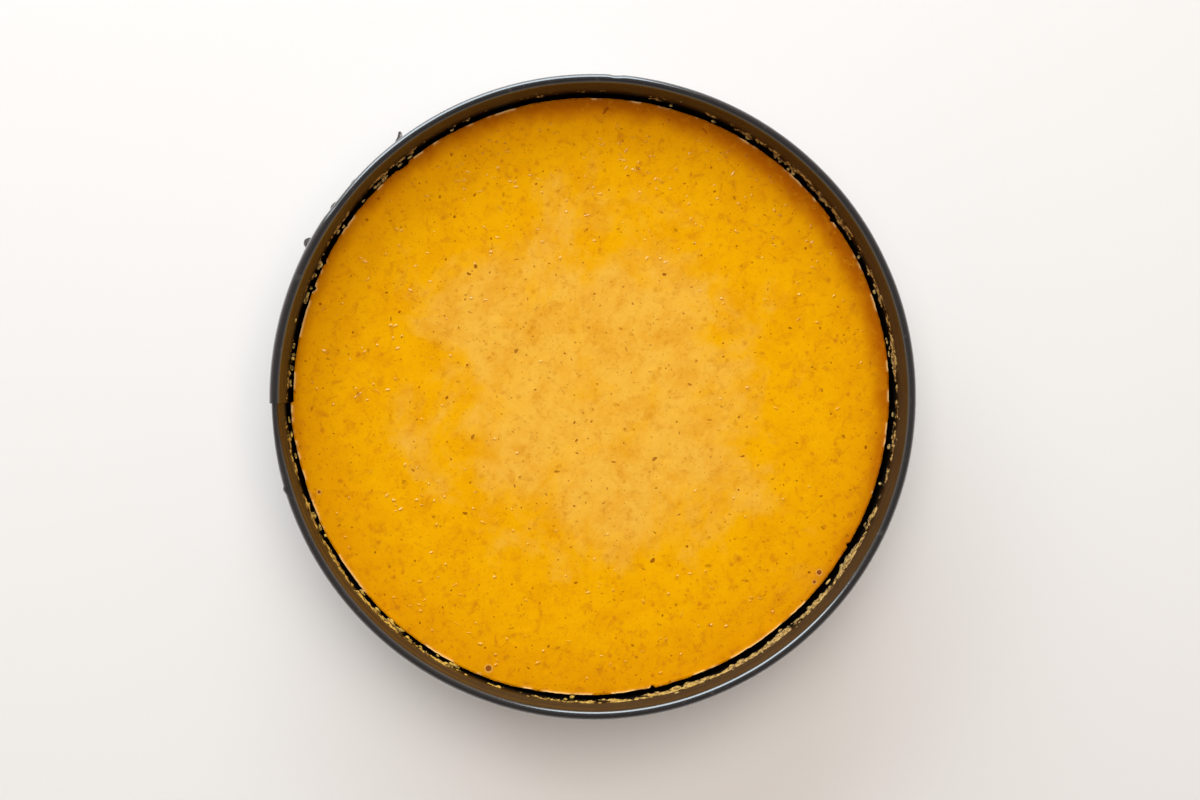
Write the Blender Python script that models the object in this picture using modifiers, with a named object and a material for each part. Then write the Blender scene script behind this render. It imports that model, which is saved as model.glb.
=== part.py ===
"""A baked pumpkin cheesecake in its springform pan, with the ring closed.

Metres, +Z up. The origin is the middle of the base plate's underside, the face the pan
stands on. The latch is centred on -Y. The ring is one strip of thin steel, whose ends
overlap. The latch is laid out in its own coordinates: `along`, the clockwise tangent seen
from above (world -X), and `out`, the distance from the pan's axis towards the front
(world -Y).
"""

import math

import bmesh
import bpy
import numpy as np

MM = 0.001

# Driving dimensions: the ring
WALL_RADIUS = 114.3 * MM  # inner face of the wall, a nine-inch pan
SHEET = 0.6 * MM
RING_HEIGHT = 70 * MM
RING_LIFT = 0.45 * MM  # the lower lip stays clear of the table
BEAD_RADIUS = 1.75 * MM  # outside radius of the rolled rim
WIDE_BEAD_RADIUS = 2.0 * MM  # where the rim wraps the other end's rim
NESTED_BEAD_RADIUS = 1.17 * MM  # where the rim lies inside the other end's rim
BEAD_ROLL = 275  # degrees
BEAD_STEPS = 8
FLARE = 0.6 * MM  # the wall opens this much just under the rim
FLARE_FROM = 60 * MM
FLARE_TO = 64 * MM
GROOVE_DEPTH = 1.8 * MM
GROOVE_HALF = 3.6 * MM
GROOVE_Z = 4.6 * MM
RING_STEPS = 48  # flats round the single wall
SEAM_AT = 311.6  # degrees about +Z: the inner end of the strip
OVERLAP = 32.6  # degrees of double wall
LAYER_STEP = 0.9 * MM  # how far the outer layer stands off the inner one
JOGGLE = 15.5  # degrees before the seam over which the strip moves outwards

# Driving dimensions: the base plate and the cake
PLATE_SHEET = 0.8 * MM
PLATE_FLANGE_Z = 4.2 * MM
PLATE_FLAT_RADIUS = 104 * MM
CAKE_TOP = 51 * MM
CAKE_RIM_RADIUS = 113.0 * MM  # the set cake has drawn away from the wall
CLEAR = 0.3 * MM  # between pieces that touch
TURNED_STEPS = 52

# Driving dimensions: the latch
LATCH_Z = 38 * MM
LATCH_SHEET = 0.8 * MM
PIVOT_ALONG = -9 * MM
PIVOT_OUT = 119.2 * MM
PIN_RADIUS = 1.2 * MM
HOLE_CLEAR = 0.25 * MM
BAIL_REACH = 11.5 * MM  # from the pivot pin to the bail's holes
BAIL_DROP = 0.3 * MM  # the bail's holes lie this much nearer the pan, past dead centre
BAIL_BAR_ALONG = -29.2 * MM
BAIL_BAR_OUT = 117.8 * MM
BAIL_HALF = 9 * MM
WIRE_RADIUS = 0.9 * MM
LEVER_HALF = 7 * MM
WEB_RADIUS = 121.5 * MM  # outer face of the lever's web, from the pan's axis
WEB_FROM = -5.5 * MM  # the web starts here, so that it swings clear of the bracket
WEB_TO = 21.9 * MM  # the web's curve ends here, and the finger tip turns outwards
EAR_HALF = 5.7 * MM
SEAT_HALF = 5.3 * MM
EAR_RADIUS = 2.1 * MM
CURL_RADIUS = 1.9 * MM
CURL_ALONG = -25.6 * MM
CURL_OUT = 119.1 * MM
CATCH_HALF = 7 * MM
RIVET_RADIUS = 2.0 * MM
RIVET_HEIGHT = 1.0 * MM


def clear_scene():
    for obj in list(bpy.data.objects):
        bpy.data.objects.remove(obj, do_unlink=True)


def collection(name):
    made = bpy.data.collections.new(name)
    bpy.context.scene.collection.children.link(made)
    return made


def finish(name, colour, roughness, metallic):
    """A plain Principled material."""
    material = bpy.data.materials.new(name)
    material.use_nodes = True
    shader = material.node_tree.nodes["Principled BSDF"]
    shader.inputs["Base Color"].default_value = (*colour, 1)
    shader.inputs["Roughness"].default_value = roughness
    shader.inputs["Metallic"].default_value = metallic
    return material


def piece(name, mesh, material, group):
    """A named object from a bmesh or a mesh, smooth where it is round."""
    if isinstance(mesh, bmesh.types.BMesh):
        data = bpy.data.meshes.new(name)
        bmesh.ops.recalc_face_normals(mesh, faces=mesh.faces)
        mesh.to_mesh(data)
        mesh.free()
    else:
        data = mesh
    data.materials.clear()
    data.materials.append(material)
    data.shade_smooth()
    data.set_sharp_from_angle(angle=math.radians(35))
    obj = bpy.data.objects.new(name, data)
    group.objects.link(obj)
    return obj


def turned(name, profile, steps, material, group, place=(0, 0, 0)):
    """A solid of revolution: (radius, z) points from the axis, down the outside, to the axis."""
    data = bpy.data.meshes.new(name)
    points = [(r, 0, z) for r, z in profile]
    edges = [(i, i + 1) for i in range(len(points) - 1)]
    data.from_pydata(points, edges, [])
    data.materials.append(material)
    obj = bpy.data.objects.new(name, data)
    obj.location = place
    group.objects.link(obj)
    screw = obj.modifiers.new("turn", "SCREW")
    screw.steps = screw.render_steps = steps
    screw.use_merge_vertices = True
    screw.merge_threshold = 0.00001
    screw.use_smooth_shade = True
    return obj


def arc(centre, radius, start, end, segments):
    """Points on an arc, angles in degrees, anticlockwise when end is past start."""
    angles = np.radians(np.linspace(start, end, segments + 1))
    return [(centre[0] + radius * math.cos(a), centre[1] + radius * math.sin(a)) for a in angles]


def band_arc(radius, start, end, segments):
    """Points (along, out) that follow the pan's wall at this radius, from one `along` to another."""
    alongs = np.linspace(start, end, segments + 1)
    return [(a, math.sqrt(radius**2 - a**2)) for a in alongs]


def offset_path(path, distance):
    """The path moved sideways by a distance, to its left, with mitred corners."""
    points = np.array(path)
    steps = np.diff(points, axis=0)
    steps /= np.linalg.norm(steps, axis=1)[:, None]
    before = np.vstack([steps[:1], steps])
    after = np.vstack([steps, steps[-1:]])
    left = np.column_stack([-(before + after)[:, 1], (before + after)[:, 0]])
    left /= np.linalg.norm(left, axis=1)[:, None]
    stretch = (left * np.column_stack([-before[:, 1], before[:, 0]])).sum(axis=1)
    return points + left * (distance / stretch)[:, None]


def latch_prism(outline, low, high):
    """A bmesh of an (along, out) outline drawn from one height above LATCH_Z to another."""
    mesh = bmesh.new()
    bottom = [mesh.verts.new((-a, -o, LATCH_Z + low)) for a, o in outline]
    face = mesh.faces.new(bottom)
    grown = bmesh.ops.extrude_face_region(mesh, geom=[face])
    top = [v for v in grown["geom"] if isinstance(v, bmesh.types.BMVert)]
    bmesh.ops.translate(mesh, verts=top, vec=(0, 0, high - low))
    return mesh


def bent_strip(path, thickness, half_width):
    """A bmesh of sheet bent along an (along, out) path and as wide as twice half_width."""
    left = offset_path(path, thickness / 2)
    right = offset_path(path, -thickness / 2)
    return latch_prism([*map(tuple, left), *map(tuple, right[::-1])], -half_width, half_width)


def rod(name, at, radius, half_length, sides, material, group):
    """A cylinder parallel to Z at an (along, out) place, centred on the latch's height."""
    mesh = bmesh.new()
    bmesh.ops.create_cone(
        mesh,
        cap_ends=True,
        segments=sides,
        radius1=radius,
        radius2=radius,
        depth=2 * half_length,
    )
    bmesh.ops.translate(mesh, verts=mesh.verts, vec=(-at[0], -at[1], LATCH_Z))
    return piece(name, mesh, material, group)


def combine(obj, helper, operation):
    """Joins a helper's shape to an object, or cuts it out, and hides the helper."""
    helper.hide_render = True
    helper.display_type = "WIRE"
    boolean = obj.modifiers.new(helper.name, "BOOLEAN")
    boolean.operation = operation
    boolean.solver = "EXACT"
    boolean.object = helper


def ease(x):
    """0 below 0, 1 above 1, and a smooth rise between."""
    x = np.clip(x, 0, 1)
    return x * x * (3 - 2 * x)


def ring_centreline(bead_radius, layer_out):
    """The strip's section, as (radius, z) points on the sheet's middle from the lower lip up and
    round the rolled rim, with the unit normal at each point."""
    lip = [(WALL_RADIUS + SHEET / 2, RING_LIFT)]
    heights = GROOVE_Z + np.linspace(-GROOVE_HALF, GROOVE_HALF, 6)
    bulge = GROOVE_DEPTH / 2 * (1 + np.cos(math.pi * (heights - GROOVE_Z) / GROOVE_HALF))
    groove = list(zip(WALL_RADIUS + SHEET / 2 + bulge, heights))
    flare = [(WALL_RADIUS + SHEET / 2, FLARE_FROM)]
    flare.append((WALL_RADIUS + SHEET / 2 + FLARE, FLARE_TO))
    roll_radius = bead_radius - SHEET / 2
    centre = (
        WALL_RADIUS + SHEET / 2 + FLARE + roll_radius,
        RING_HEIGHT - WIDE_BEAD_RADIUS,
    )
    roll = arc(centre, roll_radius, 180, 180 - BEAD_ROLL, BEAD_STEPS)
    points = np.array(lip + groove + flare + roll)
    tangents = np.gradient(points, axis=0)
    angles = np.radians(np.linspace(180, 180 - BEAD_ROLL, BEAD_STEPS + 1))
    tangents[-len(angles) :] = np.column_stack([np.sin(angles), -np.cos(angles)])
    tangents /= np.linalg.norm(tangents, axis=1)[:, None]
    points[:, 0] += layer_out
    normals = np.column_stack([tangents[:, 1], -tangents[:, 0]])
    return points, normals


def make_ring(material, group):
    """The ring: its section is carried clockwise from the inner end, once round and on over the
    overlap, stepping outwards and shrinking its rim before it passes behind the inner end."""
    turn = 360 + OVERLAP
    start_of_joggle = 360 - JOGGLE
    stations = np.concatenate(
        [
            np.arange(0, 36, 3),
            np.linspace(36, start_of_joggle, RING_STEPS + 1),
            np.linspace(start_of_joggle, 360, 6)[1:],
            np.arange(363, turn, 3),
            [turn],
        ]
    )
    wide = 1 - ease((stations - OVERLAP - 1) / 4)
    nested = ease((stations - start_of_joggle) / (JOGGLE - 2))
    bead_radii = BEAD_RADIUS + (WIDE_BEAD_RADIUS - BEAD_RADIUS) * wide
    bead_radii += (NESTED_BEAD_RADIUS - BEAD_RADIUS) * nested
    mesh = bmesh.new()
    rows = []
    for station, bead_radius, moved in zip(stations, bead_radii, nested):
        points, normals = ring_centreline(bead_radius, LAYER_STEP * moved)
        loop = np.vstack([points + normals * SHEET / 2, (points - normals * SHEET / 2)[::-1]])
        angle = math.radians(SEAM_AT - station)
        rows.append(
            [mesh.verts.new((r * math.cos(angle), r * math.sin(angle), z)) for r, z in loop]
        )
    for row, after in zip(rows, rows[1:]):
        for i in range(len(row)):
            j = (i + 1) % len(row)
            mesh.faces.new((row[i], row[j], after[j], after[i]))
    half = len(rows[0]) // 2
    for row in (rows[0], rows[-1]):
        for i in range(half - 1):
            mesh.faces.new((row[i], row[i + 1], row[-i - 2], row[-i - 1]))
    return piece("pan_ring", mesh, material, group)


def make_base_plate(material, group):
    """The loose bottom: a flat disc whose raised flange sits in the ring's groove."""
    flange_radius = WALL_RADIUS + GROOVE_DEPTH - 2 * CLEAR
    top = PLATE_FLANGE_Z + PLATE_SHEET
    shoulder = PLATE_FLAT_RADIUS + 4.5 * MM
    profile = [
        (0, PLATE_SHEET),
        (PLATE_FLAT_RADIUS, PLATE_SHEET),
        (PLATE_FLAT_RADIUS + 1.2 * MM, PLATE_SHEET + 0.5 * MM),
        (shoulder - 1 * MM, top - 0.5 * MM),
        (shoulder, top),
        (flange_radius - 0.2 * MM, top),
        (flange_radius, top - 0.3 * MM),
        (flange_radius, PLATE_FLANGE_Z + 0.2 * MM),
        (flange_radius - 0.2 * MM, PLATE_FLANGE_Z),
        (shoulder + 0.5 * MM, PLATE_FLANGE_Z),
        (PLATE_FLAT_RADIUS + 1.6 * MM, 0.3 * MM),
        (PLATE_FLAT_RADIUS + 0.5 * MM, 0),
        (0, 0),
    ]
    return turned("base_plate", profile, TURNED_STEPS, material, group)


def make_cake(material, group):
    """The cake: solid, a very slightly sunken top, a soft upper edge that stands off the wall,
    full against the wall below, and stepped over the base plate's flange."""
    flat_half = math.radians((360 - JOGGLE - 36) / RING_STEPS / 2)
    wall = WALL_RADIUS * math.cos(flat_half) - CLEAR  # clear of the ring's flats
    flange_top = PLATE_FLANGE_Z + PLATE_SHEET + CLEAR
    profile = [
        (0, CAKE_TOP - 0.7 * MM),
        (60 * MM, CAKE_TOP - 0.4 * MM),
        (95 * MM, CAKE_TOP - 0.05 * MM),
        (105 * MM, CAKE_TOP),
        (CAKE_RIM_RADIUS - 3.2 * MM, CAKE_TOP - 0.25 * MM),
        (CAKE_RIM_RADIUS - 1.2 * MM, CAKE_TOP - 0.8 * MM),
        (CAKE_RIM_RADIUS - 0.3 * MM, CAKE_TOP - 1.8 * MM),
        (CAKE_RIM_RADIUS, CAKE_TOP - 3.5 * MM),
        (CAKE_RIM_RADIUS + 0.2 * MM, CAKE_TOP - 10 * MM),
        (wall, CAKE_TOP - 20 * MM),
        (wall, flange_top + 0.4 * MM),
        (wall - 0.4 * MM, flange_top),
        (PLATE_FLAT_RADIUS + 3.5 * MM, flange_top),
        (PLATE_FLAT_RADIUS + 0.4 * MM, PLATE_SHEET + 2 * CLEAR),
        (PLATE_FLAT_RADIUS - 0.5 * MM, PLATE_SHEET + CLEAR),
        (0, PLATE_SHEET + CLEAR),
    ]
    return turned("cheesecake", profile, TURNED_STEPS, material, group)


def make_catch(material, group):
    """The plate riveted to the outer end of the ring: it follows the wall, turns outwards and ends
    in a hollow curl that the bail pulls against."""
    seat = WALL_RADIUS + LAYER_STEP + SHEET + CLEAR + LATCH_SHEET / 2
    riser = CURL_ALONG + CURL_RADIUS
    path = band_arc(seat, -45 * MM, riser - 1.2 * MM, 5)
    foot = math.sqrt(seat**2 - riser**2)
    path += [(riser - 0.35 * MM, foot + 0.35 * MM), (riser, foot + 1.4 * MM)]
    path += arc((CURL_ALONG, CURL_OUT), CURL_RADIUS, 0, 290, 11)
    return piece("catch_plate", bent_strip(path, LATCH_SHEET * 0.9, CATCH_HALF), material, group)


def make_bracket(material, group, cutters):
    """The lever's bracket, riveted to the inner layer: a seat that follows the wall and two ears,
    which lean towards the lever's tip so that its web can pass behind them."""
    seat = WALL_RADIUS + SHEET + CLEAR + LATCH_SHEET / 2
    pivot = np.array((PIVOT_ALONG, PIVOT_OUT))
    strip = bent_strip(band_arc(seat, -16.4 * MM, 4.6 * MM, 6), LATCH_SHEET, SEAT_HALF)
    bracket = piece("hinge_bracket", strip, material, group)
    ear = arc(pivot, EAR_RADIUS, 45, 215, 8)
    ear += band_arc(seat, PIVOT_ALONG - 0.4 * MM, 1.4 * MM, 3)
    for name, low in (("ear_upper", EAR_HALF - LATCH_SHEET), ("ear_lower", -EAR_HALF)):
        made = piece(name, latch_prism(ear, low, low + LATCH_SHEET), material, cutters)
        combine(bracket, made, "UNION")
    bore = rod("ear_holes", pivot, PIN_RADIUS + HOLE_CLEAR, 2 * EAR_HALF, 16, material, cutters)
    combine(bracket, bore, "DIFFERENCE")
    return bracket


def make_lever(material, group, cutters):
    """The lever, a channel open towards the pan, with its origin on the pivot. Its web follows the
    pan's curve, has a low rib over the bail's holes, and turns outwards into a finger tip."""
    pivot = np.array((PIVOT_ALONG, PIVOT_OUT))
    web_in = WEB_RADIUS - LATCH_SHEET
    sides = [(3.5, 116.2), (12, 117.6), (18, 118.5)]
    under_tip = [(22.8, 118.6), (25.0, 118.8), (27.1, 119.5), (28.8, 120.5)]
    over_tip = [(28.2, 121.2), (26.4, 120.2), (24.1, 119.6)]
    rib = [(4.8, 121.4), (3.8, 121.95), (2.5, 122.12), (1.2, 121.99), (0.2, 121.5)]
    outline = arc(pivot, 3.0 * MM, 60, 270, 9)
    outline += [(a * MM, o * MM) for a, o in sides]
    outline += band_arc(web_in, 20.5 * MM, 20.5 * MM, 0)
    outline += [(a * MM, o * MM) for a, o in under_tip + over_tip]
    outline += band_arc(WEB_RADIUS, WEB_TO, 6.5 * MM, 3)
    outline += [(a * MM, o * MM) for a, o in rib]
    outline += band_arc(WEB_RADIUS, -2 * MM, WEB_FROM, 1)
    mesh = latch_prism(outline, -LEVER_HALF, LEVER_HALF)
    bmesh.ops.translate(mesh, verts=mesh.verts, vec=(pivot[0], pivot[1], -LATCH_Z))
    lever = piece("lever", mesh, material, group)
    lever.location = (-pivot[0], -pivot[1], LATCH_Z)
    inner_half = LEVER_HALF - LATCH_SHEET
    hollow = [(-17 * MM, 126 * MM), (-17 * MM, 110 * MM), (22 * MM, 110 * MM)]
    hollow += band_arc(web_in, 22 * MM, WEB_FROM, 8) + [(WEB_FROM, 126 * MM)]
    inside = latch_prism(hollow, -inner_half, inner_half)
    combine(lever, piece("lever_hollow", inside, material, cutters), "DIFFERENCE")
    bail_hole = pivot + (BAIL_REACH, -BAIL_DROP)
    for name, at, radius in (
        ("lever_pin_holes", pivot, PIN_RADIUS),
        ("lever_bail_holes", bail_hole, WIRE_RADIUS),
    ):
        cutter = rod(name, at, radius + HOLE_CLEAR, 2 * LEVER_HALF, 16, material, cutters)
        combine(lever, cutter, "DIFFERENCE")
    return lever


def make_bail(material, group):
    """The wire bail, with its origin on its own pivot: two long sides, a bar behind the catch's
    curl, and ends turned inwards through the lever's holes."""
    pivot = np.array((PIVOT_ALONG + BAIL_REACH, PIVOT_OUT - BAIL_DROP))
    bar = np.array((BAIL_BAR_ALONG, BAIL_BAR_OUT))
    reach = np.linalg.norm(bar - pivot)
    direction = (bar - pivot) / reach
    end_z = LEVER_HALF - LATCH_SHEET - 0.15 * MM
    bend = 1.6 * MM
    half_loop = [(0, end_z), (0, BAIL_HALF - bend)]
    half_loop += arc((bend, BAIL_HALF - bend), bend, 180, 90, 4)[1:]
    half_loop += arc((reach - bend, BAIL_HALF - bend), bend, 90, 0, 4)
    loop = half_loop + [(s, -z) for s, z in reversed(half_loop)]
    curve = bpy.data.curves.new("bail", "CURVE")
    curve.dimensions = "3D"
    curve.bevel_depth = WIRE_RADIUS
    curve.bevel_resolution = 2
    curve.use_fill_caps = True
    spline = curve.splines.new("POLY")
    spline.points.add(len(loop) - 1)
    for point, (s, z) in zip(spline.points, loop):
        point.co = (-direction[0] * s, -direction[1] * s, z, 1)
    spline.use_smooth = True
    curve.materials.append(material)
    bail = bpy.data.objects.new("bail", curve)
    bail.location = (-pivot[0], -pivot[1], LATCH_Z)
    group.objects.link(bail)
    return bail


def make_pin(material, group):
    """The pivot pin: a shaft with a head beyond each side of the lever."""
    head = 1.9 * MM
    head_from = LEVER_HALF + CLEAR
    profile = [
        (0, head_from + 0.5 * MM),
        (head - 0.4 * MM, head_from + 0.5 * MM),
        (head, head_from + 0.2 * MM),
        (head, head_from),
        (PIN_RADIUS, head_from),
    ]
    profile += [(r, -z) for r, z in reversed(profile)]
    place = (-PIVOT_ALONG, -PIVOT_OUT, LATCH_Z)
    return turned("pivot_pin", profile, 16, material, group, place)


def make_rivet(name, along, up, seat, material, group):
    """A domed rivet head on a plate, facing straight out from the pan's axis."""
    dome = arc((0, 0), 1, 90, 0, 4)
    profile = [(RIVET_RADIUS * c, RIVET_HEIGHT * s) for c, s in dome] + [(0, 0)]
    profile[0] = (0, RIVET_HEIGHT)
    out = math.sqrt((seat + CLEAR) ** 2 - along**2)
    rivet = turned(name, profile, 12, material, group, (-along, -out, LATCH_Z + up))
    rivet.rotation_euler = (math.pi / 2, 0, -math.asin(along / (seat + CLEAR)))
    return rivet


def main():
    clear_scene()
    pan = collection("pumpkin_cheesecake")
    cutters = collection("cutters")
    dark = finish("dark_pan_coating", (0.055, 0.05, 0.047), 0.38, 0.6)
    plate = finish("base_plate_coating", (0.05, 0.046, 0.044), 0.42, 0.6)
    bright = finish("latch_steel", (0.5, 0.49, 0.47), 0.3, 1.0)
    filling = finish("cheesecake_filling", (0.84, 0.42, 0.05), 0.5, 0.0)
    make_ring(dark, pan)
    make_base_plate(plate, pan)
    make_cake(filling, pan)
    make_catch(bright, pan)
    make_bracket(bright, pan, cutters)
    make_lever(bright, pan, cutters)
    make_bail(bright, pan)
    make_pin(bright, pan)
    catch_seat = WALL_RADIUS + LAYER_STEP + SHEET + CLEAR + LATCH_SHEET
    bracket_seat = WALL_RADIUS + SHEET + CLEAR + LATCH_SHEET
    for name, up in (("catch_rivet_upper", 4 * MM), ("catch_rivet_lower", -4 * MM)):
        make_rivet(name, -39 * MM, up, catch_seat, bright, pan)
    for name, along in (("bracket_rivet_back", -14.2 * MM), ("bracket_rivet_front", 0.6 * MM)):
        make_rivet(name, along, 0, bracket_seat, bright, pan)


main()
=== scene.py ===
# %% [markdown]
# # A pumpkin cheesecake in its springform pan
#
# The cake is whole, just baked and still in its tin: a ring of thin dark-coated steel that a lever
# latch pulls shut round a loose base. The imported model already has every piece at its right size.
# This script gives those pieces their looks: surfaces worked out with numpy, and finishes made of
# shader nodes. Lengths are in metres and +Z is up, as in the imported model.

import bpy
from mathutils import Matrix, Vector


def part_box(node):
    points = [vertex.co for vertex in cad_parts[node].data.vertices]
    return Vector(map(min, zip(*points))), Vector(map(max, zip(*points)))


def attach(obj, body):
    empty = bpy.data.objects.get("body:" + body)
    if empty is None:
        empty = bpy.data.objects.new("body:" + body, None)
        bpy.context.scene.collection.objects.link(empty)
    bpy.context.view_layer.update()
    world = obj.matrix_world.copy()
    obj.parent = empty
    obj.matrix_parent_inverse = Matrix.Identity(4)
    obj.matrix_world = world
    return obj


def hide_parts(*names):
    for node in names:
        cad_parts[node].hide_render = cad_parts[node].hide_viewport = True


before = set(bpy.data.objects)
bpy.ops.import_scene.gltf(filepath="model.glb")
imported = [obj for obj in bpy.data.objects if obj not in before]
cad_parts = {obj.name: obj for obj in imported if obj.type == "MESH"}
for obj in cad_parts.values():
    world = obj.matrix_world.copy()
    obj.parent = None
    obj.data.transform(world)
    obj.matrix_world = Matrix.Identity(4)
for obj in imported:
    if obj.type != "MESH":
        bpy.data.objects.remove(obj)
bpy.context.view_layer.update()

# %% Modules and the unit
import itertools
import math

import bmesh
import bpy
import numpy as np
from mathutils import Matrix, Vector

MM = 0.001

# %% [markdown]
# Nearly everything here is round, so places are given as bearings. A bearing counts in degrees,
# anticlockwise seen from above, from the camera's right-hand side: 90 is the far side of the pan,
# 180 its left and 270 the side nearest the viewer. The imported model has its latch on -Y, which
# lies to the camera's upper left, so one constant turns a bearing into an angle about +Z.

# %% Bearings
CAMERA_RIGHT = 130.6


def heading(bearing):
    """The angle about +Z, in radians, of a bearing in degrees."""
    return np.radians(np.asarray(bearing, float) + CAMERA_RIGHT)


def outward(bearing):
    """The level unit vector that points along a bearing."""
    angle = float(heading(bearing))
    return Vector((math.cos(angle), math.sin(angle), 0))


def hump(bearing, centre, width):
    """A smooth hump of height 1 round the pan: exp(-(angle from its centre / width)^2)."""
    apart = (np.asarray(bearing) - centre + 180) % 360 - 180
    return np.exp(-((apart / width) ** 2))


print("the camera's right is", [round(c, 3) for c in outward(0)])

# %% [markdown]
# Every natural surface needs soft randomness. This is value noise: random numbers sit on the points
# of a cubic lattice, and a point in between blends the eight round it. It takes whole arrays of
# points, and the same seed gives the same numbers on each run. Adding a finer copy at half the
# strength, and a finer one again, gives the cloudy kind.

# %% Noise for shapes
LATTICE = np.random.default_rng(11).uniform(-1, 1, (32, 32, 32))


def noise(points, size, seed):
    """Soft noise from -1 to 1 with lumps of this size: the eight lattice numbers round each point
    are blended with weights that run as 3t^2 - 2t^3 from one to the next."""
    scaled = np.asarray(points) / size + 7.31 * seed
    cell = np.floor(scaled).astype(int)
    part = scaled - cell
    part = part * part * (3 - 2 * part)
    total = 0
    for corner in itertools.product((0, 1), repeat=3):
        at = (cell + corner) % 32
        weight = np.prod(np.where(corner, part, 1 - part), axis=-1)
        total = total + weight * LATTICE[at[..., 0], at[..., 1], at[..., 2]]
    return total


def clouds(points, size, layers, seed):
    """Noise summed in layers, each half the size and half the strength of the one before."""
    return sum(noise(points, size / 2**i, seed + i) / 2**i for i in range(layers))


def ease(x):
    """0 below 0, 1 above 1, and 3x^2 - 2x^3 between."""
    x = np.clip(x, 0, 1)
    return x * x * (3 - 2 * x)


def polar(radius, angle, z):
    """Points from arrays of radius, angle about +Z, and height."""
    parts = np.broadcast_arrays(radius * np.cos(angle), radius * np.sin(angle), z)
    return np.stack(parts, axis=-1)


print("noise at four places along X:", noise(polar(np.arange(4) * MM, 0, 0), 2 * MM, 1).round(2))

# %% [markdown]
# A surface here is a grid of points: rows by columns, worked out in one go. These helpers turn such
# grids into meshes. Rows and columns can wrap round, which closes a ring or a tube, and the numbers
# of extra faces, such as caps, are joined on. Each piece then rides on its body, names the packed
# nodes that it stands for, and takes its finish.

# %% Faces of a grid
def grid_faces(rows, columns, wrap_rows=False, wrap_columns=False, first=0):
    """The four corner numbers of each cell of a grid whose points are numbered row by row."""
    r = np.arange(rows if wrap_rows else rows - 1)[:, None]
    c = np.arange(columns if wrap_columns else columns - 1)[None, :]
    after_r, after_c = (r + 1) % rows, (c + 1) % columns
    corners = [r * columns + c, r * columns + after_c, after_r * columns + after_c]
    corners.append(after_r * columns + c)
    return np.stack(corners, axis=-1).reshape(-1, 4) + first


def strip_caps(columns, first=0):
    """Faces that fill one end of a thin bent strip, whose closed section runs up one side and down
    the other: each joins two points of one side to the two across from them."""
    half = columns // 2
    i = np.arange(half - 1)
    return np.stack([i, i + 1, columns - 2 - i, columns - 1 - i], axis=-1) + first


def tube_faces(rows, columns):
    """Faces of a closed section carried along a path, with one flat cap at each end."""
    start = np.arange(columns)[None, :]
    end = (rows - 1) * columns + start[:, ::-1]
    return [grid_faces(rows, columns, wrap_columns=True), start, end]


def left_of(path):
    """Unit vectors that point to the left of a path in the plane, one for each of its points."""
    run = np.gradient(path, axis=0)
    run /= np.linalg.norm(run, axis=1)[:, None]
    return np.column_stack([-run[:, 1], run[:, 0]])


print("a grid of 3 by 4 points has", len(grid_faces(3, 4)), "cells")

# %% Meshes and pieces
def make_mesh(name, points, faces):
    """A mesh from points and a list of face arrays, with its faces turned outwards."""
    points = np.ascontiguousarray(points, np.float32).reshape(-1, 3)
    corners = np.concatenate([f.ravel() for f in faces]).astype(np.int32)
    sizes = np.concatenate([np.full(len(f), f.shape[1]) for f in faces])
    mesh = bpy.data.meshes.new(name)
    mesh.vertices.add(len(points))
    mesh.vertices.foreach_set("co", points.ravel())
    mesh.loops.add(len(corners))
    mesh.loops.foreach_set("vertex_index", corners)
    mesh.polygons.add(len(sizes))
    mesh.polygons.foreach_set("loop_start", (np.cumsum(sizes) - sizes).astype(np.int32))
    mesh.update(calc_edges=True)
    work = bmesh.new()
    work.from_mesh(mesh)
    bmesh.ops.recalc_face_normals(work, faces=work.faces)
    work.to_mesh(mesh)
    work.free()
    return mesh


def show(mesh, body, material, stands_for=(), sharp=40):
    """Puts a mesh in the scene as a smooth piece of a body, with its edges sharp where they turn
    by more than this angle in degrees, and prints its size."""
    mesh.shade_smooth()
    mesh.set_sharp_from_angle(angle=math.radians(sharp))
    mesh.materials.append(material)
    piece = bpy.data.objects.new(mesh.name, mesh)
    bpy.context.scene.collection.objects.link(piece)
    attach(piece, body)
    if stands_for:
        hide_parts(*stands_for)
    triangles = sum(len(p.vertices) - 2 for p in mesh.polygons)
    print(f"{mesh.name}: {triangles} triangles")
    return piece


def give(mesh, name, values):
    """Stores one number for each point of a mesh, for its finish to read."""
    attribute = mesh.attributes.new(name, "FLOAT", "POINT")
    attribute.data.foreach_set("value", np.ascontiguousarray(values, np.float32).ravel())


# %% [markdown]
# Finishes are node trees, and shader maths written node by node is hard to read. So one small class
# wraps a socket and lets Python's own signs build the Math nodes: `1 - mask * 0.5` is two nodes. A
# second class holds a material, adds any other node through a single method, and has short names
# for the few that are used again and again.

# %% Shader maths as expressions
class Wire:
    """An output socket that can stand in a Python expression."""

    def __init__(self, finish, socket):
        self.finish = finish
        self.socket = socket

    def maths(self, operation, *values):
        """One Math node, with the values on its sockets in order."""
        return self.finish.node("Math", {"operation": operation}, dict(enumerate(values)))

    def __add__(self, other):
        return self.maths("ADD", self, other)

    def __radd__(self, other):
        return self.maths("ADD", other, self)

    def __sub__(self, other):
        return self.maths("SUBTRACT", self, other)

    def __rsub__(self, other):
        return self.maths("SUBTRACT", other, self)

    def __mul__(self, other):
        return self.maths("MULTIPLY", self, other)

    def __rmul__(self, other):
        return self.maths("MULTIPLY", other, self)

    def __truediv__(self, other):
        return self.maths("DIVIDE", self, other)

    def __rtruediv__(self, other):
        return self.maths("DIVIDE", other, self)

    def __pow__(self, other):
        return self.maths("POWER", self, other)

    def __gt__(self, other):
        return self.maths("GREATER_THAN", self, other)

    def larger(self, other):
        return self.maths("MAXIMUM", self, other)

    def other(self, name):
        """Another output of the same node."""
        return Wire(self.finish, self.socket.node.outputs[name])


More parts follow.
